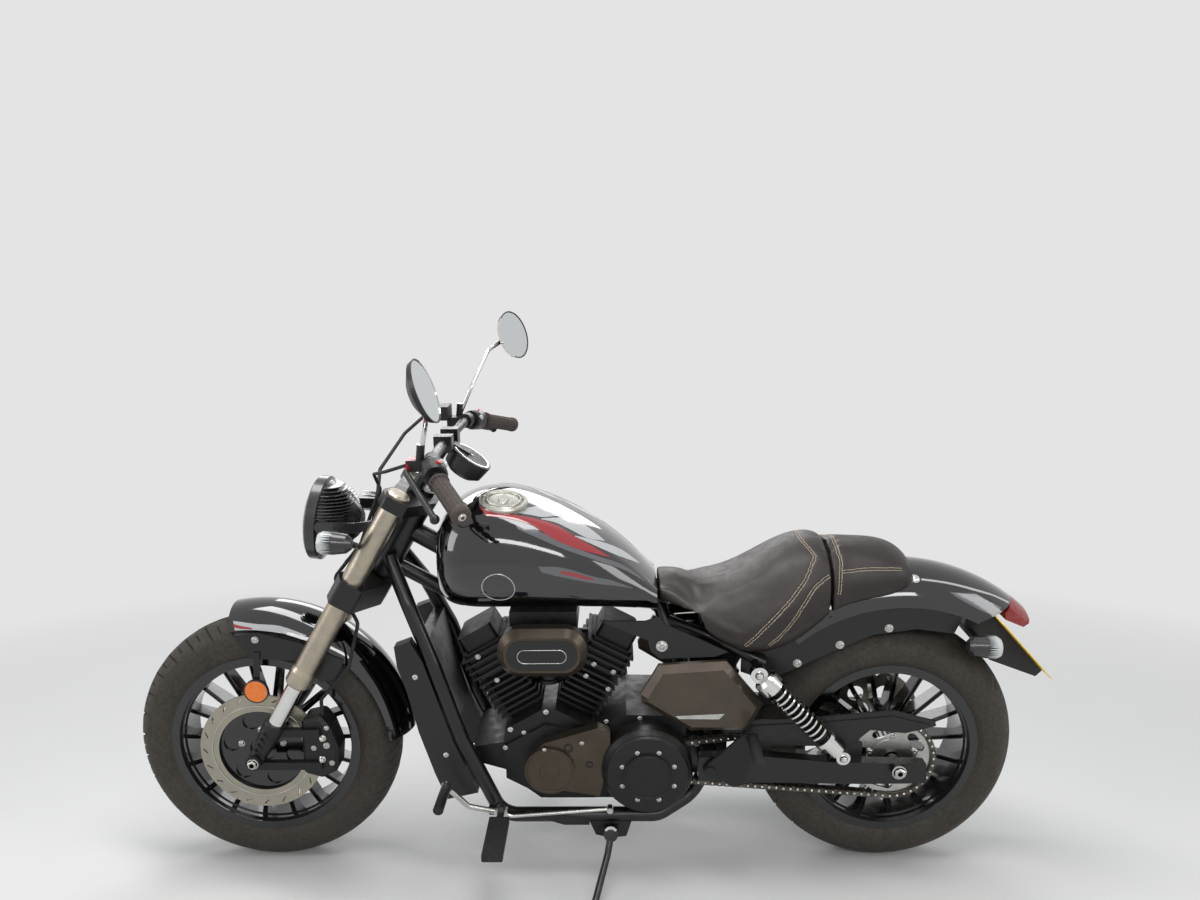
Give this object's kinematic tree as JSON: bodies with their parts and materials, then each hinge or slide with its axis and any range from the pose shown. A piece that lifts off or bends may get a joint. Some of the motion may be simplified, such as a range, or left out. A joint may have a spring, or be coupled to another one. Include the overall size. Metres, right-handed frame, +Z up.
{
  "type": "standard motorcycle",
  "caption": "Road cruiser motorcycle with a V-twin engine, teardrop tank, low stepped seat and cast wheels, parked leaning on its side stand; both wheels, steering and stand move.",
  "frame": {"origin": "bottom centre of the whole parked machine's box, on the ground", "axes": "+X forward, +Y to the rider's left, +Z up; the machine leans to the left on its side stand"},
  "size_m": [2.053, 0.8541, 1.2954],
  "materials": {
    "frame_black": "satin black paint",
    "gloss_black": "gloss black paint",
    "engine_black": "satin black coating",
    "bronze_cover": "satin bronze grey coating",
    "fork_champagne": "satin anodised",
    "chrome": "polished",
    "steel": "brushed",
    "tyre_rubber": "dusty rubber",
    "grip_rubber": "matt rubber",
    "hose_rubber": "matt rubber",
    "seat_leather": "dark brown grained",
    "black_plastic": "matt black",
    "side_plastic": "satin bronze paint",
    "amber": "clear amber",
    "red_lens": "clear red",
    "grey_lens": "smoked clear",
    "lamp_glass": "clear",
    "mirror": "mirror",
    "plate_yellow": "blank yellow"
  },
  "bodies": {
    "frame": {"main_frame": "frame_black", "left_cradle": "frame_black", "right_cradle": "frame_black", "rear_frame": "frame_black", "crankcase": "engine_black", "front_cylinder": "engine_black", "rear_cylinder": "engine_black", "air_cleaner": "bronze_cover", "left_engine_cover": "bronze_cover", "sprocket_cover": "engine_black", "radiator": "engine_black", "exhaust": "engine_black", "fuel_tank": "gloss_black", "tank_cap": "chrome", "rider_seat": "seat_leather", "pillion_seat": "seat_leather", "rear_fender": "gloss_black", "side_covers": "side_plastic", "seat_panels": "black_plastic", "swingarm": "frame_black", "shocks": "chrome", "chain": "steel", "chain_guard": "black_plastic", "rear_caliper": "engine_black", "tail_lamp": "red_lens", "plate_hanger": "black_plastic", "number_plate": "plate_yellow", "rear_indicators": "grey_lens", "foot_pegs": "steel", "gear_lever": "steel", "brake_pedal": "steel"},
    "steering": {"yokes": "frame_black", "fork_outer": "fork_champagne", "fork_inner": "chrome", "fork_bottoms": "engine_black", "front_caliper": "engine_black", "front_fender": "gloss_black", "fender_brackets": "frame_black", "reflectors": "amber", "handlebar": "frame_black", "grips": "grip_rubber", "hand_controls": "black_plastic", "mirrors": "chrome", "mirror_glass": "mirror", "gauge": "black_plastic", "headlamp": "black_plastic", "headlamp_lens": "lamp_glass", "front_indicators": "grey_lens", "hoses": "hose_rubber"},
    "front_wheel": {"front_tyre": "tyre_rubber", "front_rim": "engine_black", "front_disc": "steel"},
    "rear_wheel": {"rear_tyre": "tyre_rubber", "rear_rim": "engine_black", "rear_sprocket": "steel", "rear_disc": "steel"},
    "side_stand": {"side_stand": "frame_black"}
  },
  "joints": [
    {"name": "steering_turn", "type": "hinge", "parent": "frame", "child": "steering", "pos_m": [0.40064, -0.03558, 0.77453], "axis": [-0.5045, 0.1291, 0.8537], "range_deg": [-35, 35]},
    {"name": "front_wheel_spin", "type": "hinge", "parent": "steering", "child": "front_wheel", "pos_m": [0.7278, -0.10745, 0.29935], "axis": [0, 0.9888, -0.1495], "continuous": true},
    {"name": "rear_wheel_spin", "type": "hinge", "parent": "frame", "child": "rear_wheel", "pos_m": [-0.6872, -0.10839, 0.2931], "axis": [0, 0.9888, -0.1495], "continuous": true},
    {"name": "stand_fold", "type": "hinge", "parent": "frame", "child": "side_stand", "pos_m": [-0.0637, 0.01653, 0.116], "axis": [0.0501, 0.9414, 0.3335], "range_deg": [0, 98]}
  ]
}
